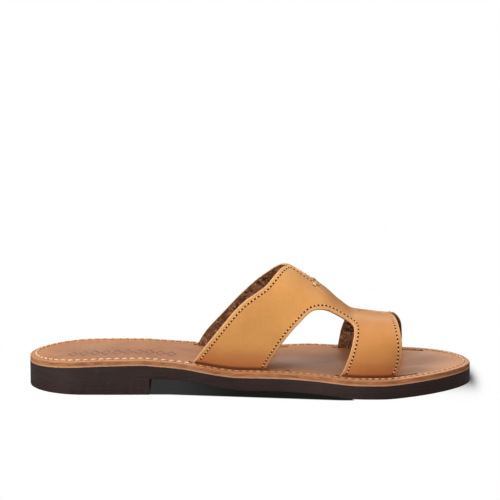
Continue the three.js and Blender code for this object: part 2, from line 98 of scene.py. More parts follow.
# The strap's pattern on those sections, rows of (at, share of the way up from the slit)
MEDIAL = {
    "side": -1,
    "rear": ((0.374, 0), (0.3645, 0.12), (0.3555, 0.285), (0.352, 0.38), (0.3545, 0.465), (0.363, 0.545),
             (0.3692, 0.62), (0.3702, 0.74), (0.3725, 0.835), (0.379, 0.90), (0.389, 0.953)),
    "back notch": ((0.389, 0.953), (0.400, 0.958), (0.460, 0.958), (0.500, 0.958), (0.514, 0.953)),
    "window rear": ((0.536, 0), (0.5315, 0.10), (0.5294, 0.24), (0.532, 0.345), (0.538, 0.44),
                    (0.544, 0.525), (0.553, 0.582)),
    "window top": ((0.553, 0.582), (0.565, 0.619), (0.582, 0.656), (0.601, 0.687), (0.6225, 0.706),
                   (0.643, 0.714), (0.664, 0.717), (0.682, 0.71)),
    "window front": ((0.705, 0), (0.7073, 0.08), (0.7088, 0.26), (0.7077, 0.38), (0.7046, 0.527),
                     (0.6999, 0.615), (0.693, 0.674), (0.682, 0.71)),
    "front notch": ((0.708, 1.058), (0.730, 1.075), (0.780, 1.085), (0.812, 1.083), (0.824, 1.065)),
    "front": ((0.823, 0), (0.833, 0.08), (0.8405, 0.21), (0.8445, 0.36), (0.8452, 0.50), (0.843, 0.68),
              (0.839, 0.83), (0.8345, 0.94), (0.830, 1.02), (0.824, 1.065)),
}
LATERAL = {
    "side": 1,
    "rear": ((0.382, 0), (0.3755, 0.08), (0.3757, 0.20), (0.375, 0.33), (0.3762, 0.48), (0.380, 0.59),
             (0.3825, 0.69), (0.387, 0.78), (0.397, 0.84)),
    "back notch": ((0.397, 0.84), (0.430, 0.865), (0.470, 0.90), (0.502, 0.93), (0.514, 0.945)),
    "window rear": ((0.536, 0), (0.5315, 0.10), (0.5294, 0.22), (0.532, 0.315), (0.538, 0.40),
                    (0.544, 0.475), (0.553, 0.53)),
    "window top": ((0.553, 0.53), (0.565, 0.572), (0.582, 0.61), (0.601, 0.64), (0.6225, 0.657),
                   (0.643, 0.664), (0.662, 0.662), (0.680, 0.652)),
    "window front": ((0.7065, 0), (0.7035, 0.11), (0.7013, 0.20), (0.7005, 0.30), (0.700, 0.40),
                     (0.697, 0.51), (0.691, 0.60), (0.680, 0.652)),
    "front notch": ((0.708, 0.845), (0.730, 0.828), (0.780, 0.815), (0.812, 0.812), (0.826, 0.80)),
    "front": ((0.850, 0), (0.8557, 0.12), (0.8585, 0.25), (0.8585, 0.36), (0.853, 0.48), (0.844, 0.59),
              (0.838, 0.68), (0.833, 0.76), (0.826, 0.80)),
}

# How finely the forms are divided
ROUND_STEPS = 40
SIDE_STEPS = 150
LEG_ROWS = 44
SHOULDER_ROWS = 26
BRIDGE_ROWS = 8
LEG_COLUMNS = 34
BRIDGE_COLUMNS = 34
NUDGE = 0.001


# Curves

def slopes_of(at, values):
    """Slopes of a smooth curve through a table that never swings past its rows."""
    chords = np.diff(values) / np.diff(at)
    slopes = [chords[0]]
    for before, after in zip(chords[:-1], chords[1:]):
        slopes.append(0.0 if before * after <= 0 else 2 * before * after / (before + after))
    return np.array(slopes + [chords[-1]])


TABLES = {}


def between(table, key, at):
    name = (id(table), key)
    if name not in TABLES:
        places = np.array(table["at"], float)
        values = np.array(table[key], float)
        TABLES[name] = (places, values, slopes_of(places, values))
    places, values, slopes = TABLES[name]
    place = min(max(at, places[0]), places[-1])
    k = min(max(int(np.searchsorted(places, place)) - 1, 0), len(places) - 2)
    span = places[k + 1] - places[k]
    t = (place - places[k]) / span
    s = 1 - t
    start = (1 + 2 * t) * s * s * values[k] + t * s * s * span * slopes[k]
    return start + t * t * (3 - 2 * t) * values[k + 1] - t * t * s * span * slopes[k + 1]


def spline(points, count):
    """Points spread evenly by length over a smooth curve through the given points."""
    rows = [np.array(point, float) for point in points]
    fine = []
    for k in range(len(rows) - 1):
        before = rows[max(k - 1, 0)]
        after = rows[min(k + 2, len(rows) - 1)]
        for step in range(24):
            t = step / 24
            leave = (rows[k + 1] - before) / 2
            arrive = (after - rows[k]) / 2
            fine.append((2 * t ** 3 - 3 * t ** 2 + 1) * rows[k] + (t ** 3 - 2 * t ** 2 + t) * leave
                        + (3 * t ** 2 - 2 * t ** 3) * rows[k + 1] + (t ** 3 - t ** 2) * arrive)
    fine.append(rows[-1])
    return resample(np.array(fine), count)


def resample(points, count):
    steps = np.linalg.norm(np.diff(points, axis=0), axis=1)
    along = np.concatenate([[0], np.cumsum(steps)])
    wanted = np.linspace(0, along[-1], count + 1)
    return np.stack([np.interp(wanted, along, points[:, axis]) for axis in range(points.shape[1])], axis=1)


# The sole's form

def underside(x):
    at = x / LENGTH
    return between(UNDERSIDE, "heel", at) * HEEL_HEIGHT + between(UNDERSIDE, "toe", at) * TOE_SPRING


def outsole_top(x):
    return underside(x) + between(UNDERSIDE, "rubber", x / LENGTH) * OUTSOLE


def insole_bottom(x):
    return outsole_top(x) + GAP


def seat(x):
    return insole_bottom(x) + INSOLE


def edge(x, side):
    """The sole's edge on the medial (-1) or the lateral side (1)."""
    name = "medial" if side < 0 else "lateral"
    at = min(max(x / LENGTH, 0.0), 1.0)
    if at < HEEL["end"]:
        tip = HEEL["tip"] * BALL_WIDTH
        full = side * between(WIDTHS, name, HEEL["end"]) * BALL_WIDTH
        return tip + (full - tip) * math.sqrt(1 - (1 - at / HEEL["end"]) ** 2)
    start, power = TOE[name]
    if at <= start:
        return side * between(WIDTHS, name, at) * BALL_WIDTH
    tip = TOE["tip"] * BALL_WIDTH
    full = side * between(WIDTHS, name, start) * BALL_WIDTH
    along = (at - start) / (1 - start)
    return tip + (full - tip) * max(0.0, 1 - along ** power) ** (1 / power)


def stations(start, end):
    places = [HEEL["end"] * (1 - math.cos(math.pi / 2 * k / ROUND_STEPS)) for k in range(ROUND_STEPS)]
    toe = TOE["medial"][0]
    places += [HEEL["end"] + (toe - HEEL["end"]) * k / SIDE_STEPS for k in range(SIDE_STEPS)]
    places += [toe + (1 - toe) * math.sin(math.pi / 2 * k / ROUND_STEPS) for k in range(ROUND_STEPS + 1)]
    inner = [at for at in places if start + NUDGE / 2 < at < end - NUDGE / 2]
    return [at * LENGTH for at in [start, *inner, end]]


def outline(places):
    """The sole's outline in plan: the heel's tip, the medial side, then the lateral side back."""
    medial = [(x, edge(x, -1)) for x in places[1:]]
    lateral = [(x, edge(x, 1)) for x in places[1:]]
    if abs(medial[-1][1] - lateral[-1][1]) < NUDGE:
        lateral = lateral[:-1]
    return np.array([(places[0], HEEL["tip"] * BALL_WIDTH), *medial, *lateral[::-1]]), len(medial)


def inset(ring, distance):
    """A ring moved inwards, along the normals of its neighbours' chords."""
    chord = np.roll(ring, -1, axis=0) - np.roll(ring, 1, axis=0)
    chord /= np.linalg.norm(chord, axis=1)[:, None]
    return ring + distance * np.stack([-chord[:, 1], chord[:, 0]], axis=1)


WHOLE_MM = range(int(LENGTH) + 1)
BOX_MIDDLE = (min(edge(x, -1) for x in WHOLE_MM) + max(edge(x, 1) for x in WHOLE_MM)) / 2
ORIGIN = np.array([LENGTH / 2, BOX_MIDDLE, 0.0])


# The strap's form

def slit_line(x, side):
    return edge(x, side) - side * (STRAP_INSET + STRAP / 2)


def last_point(at, girth):
    """The strap's inner face: girth -1 is the medial slit, 0 the ridge, 1 the lateral slit."""
    side = -1 if girth < 0 else 1
    name = "medial" if side < 0 else "lateral"
    x = at * LENGTH
    ridge = between(SECTIONS, "ridge", at) * LENGTH
    foot = np.array([x, slit_line(x, side), seat(x) + BEND_ABOVE])
    top = np.array([ridge, between(SECTIONS, "shift", at) * BALL_WIDTH,
                    seat(ridge) + between(SECTIONS, "height", at) * INSTEP])
    up = 1 - abs(girth)
    if up < 0:
        return foot + np.array([0, 0, up * INSTEP])
    flank = foot + between(SECTIONS, "rise", at) * (top - foot)
    flank[1] = foot[1] + side * between(SECTIONS, name + " lean", at) * BALL_WIDTH
    crown = top + np.array([0, side * between(SECTIONS, name + " spread", at) * BALL_WIDTH, 0])
    s = 1 - up
    return s ** 3 * foot + 3 * s * s * up * flank + 3 * s * up * up * crown + up ** 3 * top


def last_normal(at, girth):
    along = last_point(at + NUDGE, girth) - last_point(at - NUDGE, girth)
    across = last_point(at, girth + NUDGE) - last_point(at, girth - NUDGE)
    normal = np.cross(along, across)
    return normal / np.linalg.norm(normal)


def pattern_curve(half, name, count):
    points = [(at * LENGTH, up * BALL_WIDTH) for at, up in half[name]]
    curve = spline(points, count)
    return np.stack([curve[:, 0] / LENGTH, half["side"] * (1 - curve[:, 1] / BALL_WIDTH)], axis=1)


def line(start, end, count):
    shares = np.linspace(0, 1, count + 1)[:, None]
    return np.asarray(start) * (1 - shares) + np.asarray(end) * shares


def patch(left, right, bottom, top):
    """A four-sided patch of the pattern, filled between its edges: rows, columns, (at, girth)."""
    t = np.linspace(0, 1, len(left))[:, None, None]
    s = np.linspace(0, 1, len(bottom))[None, :, None]
    across = left[:, None, :] * (1 - s) + right[:, None, :] * s
    upward = bottom[None, :, :] * (1 - t) + top[None, :, :] * t
    corners = ((left[0] * (1 - s) + right[0] * s) * (1 - t)
               + (left[-1] * (1 - s) + right[-1] * s) * t)
    return across + upward - corners


def leg_patch(left, right, top, side):
    foot = line(left[0], right[0], LEG_COLUMNS)
    grid = patch(left, right, foot, top)
    tab_end = side * (1 + (BEND_ABOVE + INSOLE) / INSTEP)
    tab_middle = side * (1 + (BEND_ABOVE + INSOLE) / INSTEP / 2)
    rows = [np.stack([foot[:, 0], np.full(len(foot), girth)], axis=1) for girth in (tab_end, tab_middle)]
    return np.concatenate([np.array(rows), grid])


def strap_patches():
    patches = []
    bridge = {}
    for half in (MEDIAL, LATERAL):
        window_rear = pattern_curve(half, "window rear", LEG_ROWS)
        window_front = pattern_curve(half, "window front", LEG_ROWS)
        back_notch = pattern_curve(half, "back notch", LEG_COLUMNS)
        front_notch = pattern_curve(half, "front notch", LEG_COLUMNS)
        back_shoulder = line(window_rear[-1], back_notch[-1], SHOULDER_ROWS)
        front_shoulder = line(window_front[-1], front_notch[0], SHOULDER_ROWS)
        rear = pattern_curve(half, "rear", LEG_ROWS + SHOULDER_ROWS)
        front = pattern_curve(half, "front", LEG_ROWS + SHOULDER_ROWS)
        back_inside = np.concatenate([window_rear, back_shoulder[1:]])
        front_inside = np.concatenate([window_front, front_shoulder[1:]])
        patches.append(leg_patch(rear, back_inside, back_notch, half["side"]))
        patches.append(leg_patch(front_inside, front, front_notch, half["side"]))
        window_top = pattern_curve(half, "window top", BRIDGE_COLUMNS)
        bridge[half["side"]] = (back_shoulder, front_shoulder, window_top)
    sides = []
    for k in range(2):
        medial, lateral = bridge[-1][k], bridge[1][k]
        across = line(medial[-1], lateral[-1], BRIDGE_ROWS)[1:-1]
        sides.append(np.concatenate([medial, across, lateral[::-1]]))
    patches.append(patch(sides[0], sides[1], bridge[-1][2], bridge[1][2]))
    return patches


def strap_sheet():
    """The patches as one sheet: pattern points, each kept once, and quads facing outwards."""
    points = []
    numbers = {}
    faces = []
    for grid in strap_patches():
        number = np.empty(grid.shape[:2], int)
        for j in range(grid.shape[0]):
            for i in range(grid.shape[1]):
                name = (round(float(grid[j, i, 0]), 6), round(float(grid[j, i, 1]), 6))
                if name not in numbers:
                    numbers[name] = len(points)
                    points.append(grid[j, i])
                number[j, i] = numbers[name]
        middle = grid[grid.shape[0] // 2:, :][:2, :2].reshape(-1, 2)
        turn = np.cross(middle[3] - middle[0], middle[2] - middle[1])
        for j in range(grid.shape[0] - 1):
            for i in range(grid.shape[1] - 1):
                face = [number[j, i], number[j, i + 1], number[j + 1, i + 1], number[j + 1, i]]
                faces.append(face if turn > 0 else face[::-1])
    return np.array(points), faces


# Objects and materials

def new_object(name, corners, faces, materials, node=None, slots_of_faces=None):
    """A mesh object from corners in the sole's millimetres, moved into the frame's metres."""
    mesh = bpy.data.meshes.new(name)
    placed = (np.asarray(corners, float) - ORIGIN) * MM
    mesh.from_pydata(placed.tolist(), [], [list(map(int, face)) for face in faces])
    for material in materials:
        mesh.materials.append(material)
    if slots_of_faces is not None:
        mesh.polygons.foreach_set("material_index", slots_of_faces)
    mesh.validate()
    mesh.update()
    piece = bpy.data.objects.new(name, mesh)
    bpy.context.scene.collection.objects.link(piece)
    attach(piece, "root")
    if node:
        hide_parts(node)
    return piece


def smooth(piece, angle):
    mesh = piece.data
    mesh.polygons.foreach_set("use_smooth", [True] * len(mesh.polygons))
    mesh.set_sharp_from_angle(angle=math.radians(angle))
    mesh.update()


def store(piece, name, values):
    layer = piece.data.attributes.new(name, "FLOAT", "POINT")
    layer.data.foreach_set("value", np.asarray(values, float))


class Nodes:
    """The nodes of a tree, added one after the other."""

    def __init__(self, tree, coordinates="Object"):
        self.tree = tree
        self.place = self.add("ShaderNodeTexCoord").outputs[coordinates]

    def add(self, kind, **settings):
        node = self.tree.nodes.new(kind)
        for key, value in settings.items():
            setattr(node, key, value)
        return node

    def link(self, source, target):
        self.tree.links.new(source, target)

    def feed(self, target, value):
        if isinstance(value, bpy.types.NodeSocket):
            self.link(value, target)
        else:
            target.default_value = value

    def scaled(self, x, y, z, turn=(0, 0, 0)):
        node = self.add("ShaderNodeMapping")
        node.inputs["Scale"].default_value = (x, y, z)
        node.inputs["Rotation"].default_value = turn
        self.link(self.place, node.inputs["Vector"])
        return node.outputs["Vector"]

    def noise(self, scale, detail=4.0, roughness=0.6, where=None):
        node = self.add("ShaderNodeTexNoise")
        self.link(where or self.place, node.inputs["Vector"])
        node.inputs["Scale"].default_value = scale
        node.inputs["Detail"].default_value = detail
        node.inputs["Roughness"].default_value = roughness
        return node.outputs["Fac"]

    def cells(self, scale, where=None):
        node = self.add("ShaderNodeTexVoronoi", feature="DISTANCE_TO_EDGE")
        self.link(where or self.place, node.inputs["Vector"])
        node.inputs["Scale"].default_value = scale
        return node.outputs["Distance"]

    def attribute(self, name):
        return self.add("ShaderNodeAttribute", attribute_name=name).outputs["Fac"]

    def axes(self):
        node = self.add("ShaderNodeSeparateXYZ")
        self.link(self.place, node.inputs["Vector"])
        return node.outputs["X"], node.outputs["Y"], node.outputs["Z"]

    def span(self, value, low, high, to_low=0.0, to_high=1.0):
        node = self.add("ShaderNodeMapRange")
        self.feed(node.inputs["Value"], value)
        for name, number in (("From Min", low), ("From Max", high), ("To Min", to_low), ("To Max", to_high)):
            node.inputs[name].default_value = number
        return node.outputs["Result"]

    def math(self, operation, a, b=0.0):
        node = self.add("ShaderNodeMath", operation=operation)
        self.feed(node.inputs[0], a)
        self.feed(node.inputs[1], b)
        return node.outputs["Value"]

    def mix(self, share, a, b, blend="MIX"):
        node = self.add("ShaderNodeMix", data_type="RGBA", blend_type=blend)
        self.feed(node.inputs["Factor"], share)
        self.feed(node.inputs["A"], a)
        self.feed(node.inputs["B"], b)
        return node.outputs["Result"]

    def bump(self, height, strength, distance, under=None):
        node = self.add("ShaderNodeBump")
        node.inputs["Strength"].default_value = strength
        node.inputs["Distance"].default_value = distance
        self.link(height, node.inputs["Height"])
        if under is not None:
            self.link(under, node.inputs["Normal"])
        return node.outputs["Normal"]

    def seen(self, shown, lighting):
        """A number that is one thing to the camera and another as a source of light."""
        ray = self.add("ShaderNodeLightPath").outputs["Is Camera Ray"]
        return self.span(ray, 0.0, 1.0, lighting, shown)


class Material(Nodes):
    """A material of the given name, with its shader."""

    def __init__(self, name):
        self.material = bpy.data.materials.new(name)
        self.material.use_nodes = True
        super().__init__(self.material.node_tree)
        self.shader = next(node for node in self.tree.nodes if node.type == "BSDF_PRINCIPLED")

    def plan(self):
        """Where a point lies in the sole's millimetres: along it and across it."""
        x, y, _ = self.axes()
        return tuple(self.math("DIVIDE", self.math("ADD", axis, float(ORIGIN[k]) * MM), MM)
                     for k, axis in enumerate((x, y)))

    def finish(self, color, roughness, normal=None, specular=0.5, coat=0.0, coat_roughness=0.3):
        self.feed(self.shader.inputs["Base Color"], color)
        self.feed(self.shader.inputs["Roughness"], roughness)
        self.shader.inputs["Specular IOR Level"].default_value = specular
        self.shader.inputs["Coat Weight"].default_value = coat
        self.shader.inputs["Coat Roughness"].default_value = coat_roughness
        if normal is not None:
            self.link(normal, self.shader.inputs["Normal"])
        return self.material


def tone(red, green, blue):
    """A colour given as it looks on a screen, 0 to 255."""
    linear = []
    for value in (red, green, blue):
        share = value / 255
        linear.append(share / 12.92 if share <= 0.04045 else ((share + 0.055) / 1.055) ** 2.4)
    return (*linear, 1.0)


def strap_grain():
    """Smooth golden tan leather, paler at its rims, with painted shade: browner on the front band, darker
    and redder towards its feet and darkest just above the insole.
    """
    n = Material("strap grain")
    golden = n.mix(n.noise(26, 5, 0.6), tone(218, 150, 76), tone(229, 165, 90))
    blotch = n.span(n.noise(55, 3, 0.5, n.scaled(1, 1, 0.5)), 0.40, 0.68)
    golden = n.mix(n.math("MULTIPLY", blotch, 0.32), golden, tone(196, 128, 66))
    fleck = n.span(n.noise(700, 4, 0.7), 0.50, 0.72)
    golden = n.mix(n.math("MULTIPLY", fleck, 0.22), golden, tone(188, 120, 64))
    along, _ = n.plan()
    # Painted shade: the front band is browner, as it takes less light than the flanks.
    golden = n.mix(n.span(along, 161.0, 187.0, 0.0, 0.75), golden, tone(195, 125, 57))
    foot = n.attribute("foot")
    # Painted shade: darker and redder towards the strap's feet, from about 17 mm above the insole, with an
    # uneven border.
    painted_shade_height = n.math("ADD", foot, n.span(n.noise(40), 0, 1, -3.0, 3.0))
    color = n.mix(n.math("MULTIPLY", n.span(painted_shade_height, 17.0, 1.5), 0.72), golden, tone(176, 98, 60))
    rim = n.span(n.attribute("rim"), 0.7, 2.4)
    color = n.mix(n.math("MULTIPLY", n.math("SUBTRACT", 1.0, rim), 0.28), color, tone(232, 182, 126))
    # Painted shade: darkest in the last 2 mm above the insole, where the strap meets it.
    color = n.mix(n.math("MULTIPLY", n.span(foot, 2.3, 0.9), 0.85), color, tone(74, 38, 22))
    pores = n.span(n.cells(1500), 0.0, 0.12)
    grain = n.noise(900, 6, 0.65)
    first = n.bump(grain, 0.22, 0.0003)
    second = n.bump(pores, 0.10, 0.0002, first)
    third = n.bump(n.noise(45, 2), 0.12, 0.0012, second)
    rough = n.span(n.noise(120, 3), 0.3, 0.7, 0.42, 0.56)
    return n.finish(color, rough, third, specular=0.45, coat=0.08, coat_roughness=0.35)


def strap_edge():
    """The strap's cut edge: pale fibres below the grain, and on the flesh side a dark brown that is painted
    shade.
    """
    n = Material("strap edge")
    fibres = n.noise(600, 5, 0.7)
    pale = n.mix(n.span(fibres, 0.32, 0.70), tone(190, 132, 84), tone(232, 184, 138))
    # Painted shade: the flesh half of the cut edge is dark, as edges seen from inside the strap lie in
    # shade.
    dark = n.mix(n.span(fibres, 0.35, 0.68), tone(58, 34, 22), tone(112, 74, 48))
    depth = n.math("ADD", n.attribute("depth"), n.span(n.noise(260), 0.3, 0.7, -0.08, 0.08))
    color = n.mix(n.span(depth, 0.40, 0.56), dark, pale)
    return n.finish(color, 0.78, n.bump(fibres, 0.5, 0.0003), specular=0.25)


def strap_flesh():
    """The strap's inner side: dark, rough, mottled fibres."""
    n = Material("strap flesh")
    mottle = n.noise(230, 6, 0.75)
    color = n.mix(n.span(mottle, 0.38, 0.62), tone(54, 30, 20), tone(144, 98, 66))
    speck = n.span(n.noise(520, 4, 0.7), 0.52, 0.64)
    color = n.mix(n.math("MULTIPLY", speck, 0.7), color, tone(204, 166, 128))
    fibres = n.bump(n.noise(800, 6, 0.8), 0.8, 0.0006)
    return n.finish(color, 0.92, n.bump(mottle, 0.5, 0.0008, fibres), specular=0.15)


# A row of lozenges pressed into the insole at the heel
ORNAMENT = {"from": 22.0, "to": 84.0, "pitch": 6.2, "across": 13.0, "y": -8.0}


def ornament(n):
    """1 on the outlines of the lozenges and 0 elsewhere."""
    x, y = n.plan()
    along = n.math("DIVIDE", n.math("SUBTRACT", x, ORNAMENT["from"]), ORNAMENT["pitch"])
    from_middle = n.math("ABSOLUTE", n.math("SUBTRACT", n.math("FRACT", along), 0.5))
    across = n.math("ABSOLUTE", n.math("SUBTRACT", y, ORNAMENT["y"]))
    across = n.math("DIVIDE", across, ORNAMENT["across"] / 2)
    off_centre = n.math("ADD", n.math("MULTIPLY", from_middle, 2.0), across)
    drawn = n.span(n.math("ABSOLUTE", n.math("SUBTRACT", off_centre, 0.82)), 0.20, 0.08)
    count = math.floor((ORNAMENT["to"] - ORNAMENT["from"]) / ORNAMENT["pitch"])
    inside = n.math("MULTIPLY", n.math("GREATER_THAN", along, 0.0), n.math("LESS_THAN", along, float(count)))
    return n.math("MULTIPLY", drawn, inside)


# Soft hollows worn into the insole: place and half sizes in the sole's millimetres. Their grey-brown
# darkening is painted shade and reflection near the straps, and also wear.
HOLLOWS = (
    {"x": 36.0, "y": -1.0, "long": 30.0, "wide": 20.0},
    {"x": 136.0, "y": -8.0, "long": 24.0, "wide": 15.0},
    {"x": 176.0, "y": -14.0, "long": 22.0, "wide": 20.0},
    {"x": 184.0, "y": 26.0, "long": 22.0, "wide": 14.0},
    {"x": 222.0, "y": -20.0, "long": 14.0, "wide": 11.0},
    {"x": 226.0, "y": 8.0, "long": 12.0, "wide": 16.0},
)


# Painted light: where the insole is paler, in the back band's shadow just ahead of it
PAINTED_LIGHT_SPOTS = ({"x": 146.0, "y": 2.0, "long": 18.0, "wide": 16.0},)


def spots(n, places):
    """Soft oval spots, from 0 to 1."""
    x, y = n.plan()
    total = 0.0
    for spot in places:
        along = n.math("DIVIDE", n.math("SUBTRACT", x, spot["x"]), spot["long"])
        across = n.math("DIVIDE", n.math("SUBTRACT", y, spot["y"]), spot["wide"])
        away = n.math("ADD", n.math("MULTIPLY", along, along), n.math("MULTIPLY", across, across))
        total = n.math("ADD", total, n.math("EXPONENT", n.math("MULTIPLY", away, -1.6)))
    return total


def insole_grain():
    """The insole's face: tan leather with a satin gloss, with hollows and lozenges; painted light makes it
    paler at the toe and in a spot between the bands, and painted shade and reflection, with wear, darken the
    hollows.
    """
    n = Material("insole grain")
    cloud = n.noise(22, 4, 0.55, n.scaled(1, 1.6, 1))
    color = n.mix(n.span(cloud, 0.35, 0.68), tone(176, 111, 62), tone(198, 132, 80))
    along, _ = n.plan()
    # Painted light: paler towards the toe, lifting the front band's shadow there.
    color = n.mix(n.span(along, 199.0, 225.0, 0.0, 0.75), color, tone(230, 168, 122))
    worn = n.span(n.noise(9, 3, 0.5, n.scaled(1, 1.8, 1)), 0.42, 0.66)
    color = n.mix(n.math("MULTIPLY", worn, 0.35), color, tone(176, 106, 64))
    rim = n.span(n.attribute("rim"), 0.5, 7.0)
    color = n.mix(n.math("MULTIPLY", n.math("SUBTRACT", 1.0, rim), 0.35), color, tone(206, 136, 80))
    pressed = ornament(n)
    color = n.mix(n.math("MULTIPLY", pressed, 0.75), color, tone(104, 54, 32))
    creases = n.noise(70, 5, 0.6, n.scaled(0.6, 1.7, 1))
    grain = n.bump(n.noise(1000, 5, 0.6), 0.10, 0.0002)
    soft = n.bump(n.noise(16, 2, 0.5, n.scaled(1, 1.5, 1)), 0.30, 0.004, grain)
    soft = n.bump(creases, 0.10, 0.0006, soft)
    hollows_and_shade = spots(n, HOLLOWS)
    # Painted shade and reflection, with wear: the hollows darken to grey-brown.
    color = n.mix(n.math("MULTIPLY", hollows_and_shade, 0.30), color, tone(118, 98, 92))
    # Painted light: a pale spot between the bands.
    color = n.mix(n.math("MULTIPLY", spots(n, PAINTED_LIGHT_SPOTS), 0.55), color, tone(252, 206, 178))
    soft = n.bump(n.math("SUBTRACT", 1.0, hollows_and_shade), 0.6, 0.0012, soft)
    soft = n.bump(n.math("SUBTRACT", 1.0, pressed), 0.5, 0.0005, soft)
    rough = n.span(n.noise(60, 3), 0.3, 0.7, 0.28, 0.42)
    return n.finish(color, rough, soft, specular=0.5, coat=0.10, coat_roughness=0.28)


def insole_side():
    """The insole's raw side: tan with darker fibres, and lighter along its bottom."""
    n = Material("insole side")
    fibres = n.noise(520, 5, 0.7, n.scaled(0.3, 0.3, 1.5))
    color = n.mix(n.span(fibres, 0.34, 0.68), tone(124, 74, 46), tone(182, 124, 84))
    low = n.span(n.attribute("up"), 0.34, 0.10)
    color = n.mix(n.math("MULTIPLY", low, 0.7), color, tone(208, 156, 116))
    high = n.span(n.attribute("up"), 0.72, 0.95)
    color = n.mix(n.math("MULTIPLY", high, 0.35), color, tone(196, 138, 88))
    return n.finish(color, 0.75, n.bump(fibres, 0.5, 0.0003), specular=0.25)


def rubber(name):
    """Dark brown rubber, trimmed with fine lengthwise striations."""
    n = Material(name)
    lines = n.noise(1500, 4, 0.6, n.scaled(0.02, 0.02, 1.0))
    patches = n.noise(60, 4, 0.6)
    color = n.mix(n.span(patches, 0.3, 0.7), tone(31, 16, 12), tone(43, 25, 20))
    color = n.mix(n.math("MULTIPLY", n.span(lines, 0.45, 0.70), 0.38), color, tone(66, 47, 42))
    dust = n.span(n.noise(330, 4, 0.7), 0.60, 0.78)
    color = n.mix(n.math("MULTIPLY", dust, 0.18), color, tone(96, 80, 74))
    first = n.bump(lines, 0.35, 0.0004)
    return n.finish(color, 0.62, n.bump(n.noise(420, 4, 0.7), 0.25, 0.0003, first), specular=0.35)


def thread(name, light, dark):
    n = Material(name)
    twist = n.noise(1400, 3, 0.6)
    color = n.mix(n.span(twist, 0.3, 0.7), dark, light)
    return n.finish(color, 0.7, n.bump(twist, 0.4, 0.0002), specular=0.3)


# Painted shade: the dark colour of the awl and punched holes stands in for the shade inside them.
def hole_shade():
    n = Material("hole")
    return n.finish(n.mix(n.noise(500), tone(30, 13, 6), tone(52, 24, 12)), 0.9, specular=0.1)


# Sole pieces

EDGE_STEPS = 5
SHARP = {"sole": 38, "strap": 50, "thread": 60}      # degrees from which an edge is shaded sharp
SOLE_ROUNDING = 0.7
HEEL_ROUNDING = 0.5
RAGGED = 0.22              # unevenness of the heel lift's lowest rim
GRAIN_SLOT = 0
SIDE_SLOT = 1


def sole_piece(name, start, end, levels, materials, node, band_slots=None, cap_slots=(0, 0)):
    """A layer of the sole: rings at several levels, each an inset and a height that are functions
    of x, closed below and above. The bands between them and the two caps name their materials."""
    ring, count = outline(stations(start, end))
    rings = []
    for distance, height in levels:
        plan = np.array([inset(ring, distance(x))[k] for k, (x, _) in enumerate(ring)])
        rings.append(np.column_stack([plan, [height(x) for x in plan[:, 0]]]))
    total = len(ring)
    faces = []
    slots_of_faces = []
    for level in range(len(levels) - 1):
        for k in range(total):
            after = (k + 1) % total
            base = level * total
            faces.append([base + k, base + after, base + total + after, base + total + k])
            slots_of_faces.append(band_slots[level] if band_slots else 0)
    last = (len(levels) - 1) * total
    for k in range(count):
        a, b = k, k + 1
        c, d = (total - b) % total, (total - a) % total
        low = [a, d, c, b]
        high = [last + a, last + b, last + c, last + d]
        faces += [list(dict.fromkeys(low)), list(dict.fromkeys(high))]
        slots_of_faces += cap_slots
    piece = new_object(name, np.concatenate(rings), faces, materials, node, slots_of_faces)
    smooth(piece, SHARP["sole"])
    return piece


def fixed(value):
    return lambda x: value


def rounded_below(radius, bottom):
    turns = [math.pi / 2 * k / EDGE_STEPS for k in range(EDGE_STEPS + 1)]
    return [(fixed(radius * (1 - math.sin(turn))),
             lambda x, lift=radius * (1 - math.cos(turn)): bottom(x) + lift) for turn in turns]


def rounded_above(radius, top, side_inset):
    turns = [math.pi / 2 * k / EDGE_STEPS for k in range(EDGE_STEPS + 1)]
    return [(fixed(side_inset + radius * (1 - math.cos(turn))),
             lambda x, drop=radius * (1 - math.sin(turn)): top(x) - drop) for turn in turns]


def past_heel(x):
    """0 over the heel lift, where the outsole's rim is square so that no groove shows, and then 1."""
    share = min(max((x / LENGTH - BREAST_AT) / 0.02, 0.0), 1.0)
    return share * share * (3 - 2 * share)


def eased(level):
    distance, height = level
    return (lambda x: distance(x) * past_heel(x),
            lambda x: underside(x) + (height(x) - underside(x)) * past_heel(x))


def ragged(level):
    distance, height = level
    return lambda x: distance(x) + RAGGED * noise.noise(Vector((x * 0.9, 3.0, 0.0))), height


def make_rubber_soles():
    levels = rounded_below(SOLE_ROUNDING, underside)
    levels = [eased(level) for level in levels[:-1]] + levels[-1:]
    levels.append((fixed(0.0), lambda x: insole_bottom(x) - SEAM))
    sole_piece("outsole_rubber", 0, 1, levels, [rubber("outsole rubber")], "outsole")
    levels = rounded_below(HEEL_ROUNDING, fixed(0.0))
    levels = [ragged(level) for level in levels[:-1]] + levels[-1:]
    levels.append((fixed(0.0), lambda x: underside(x) - SEAM / 6))
    sole_piece("heel_rubber", 0, BREAST_AT, levels, [rubber("heel rubber")], "heel_lift")


def slit_cutter(side, start, end):
    """A closed block for one slit, a little wider than the strap."""
    corners = []
    faces = []
    steps = 40
    for k in range(steps + 1):
        x = start + (end - start) * k / steps
        slope = (slit_line(x + 0.25, side) - slit_line(x - 0.25, side)) / 0.5
        out = np.array([-slope * side, side]) / math.hypot(slope, 1)
        middle = np.array([x, slit_line(x, side)])
        inner = middle - out * GAP
        outer = middle + out * (STRAP + GAP)
        low, high = insole_bottom(x) - 1, seat(x) + 1
        corners += [(*inner, low), (*outer, low), (*outer, high), (*inner, high)]
    for k in range(steps):
        for corner in range(4):
            after = (corner + 1) % 4
            faces.append([4 * k + corner, 4 * k + 4 + corner, 4 * k + 4 + after, 4 * k + after])
    faces += [[0, 1, 2, 3], [4 * steps + corner for corner in (3, 2, 1, 0)]]
    if side > 0:
        faces = [face[::-1] for face in faces]
    return corners, faces


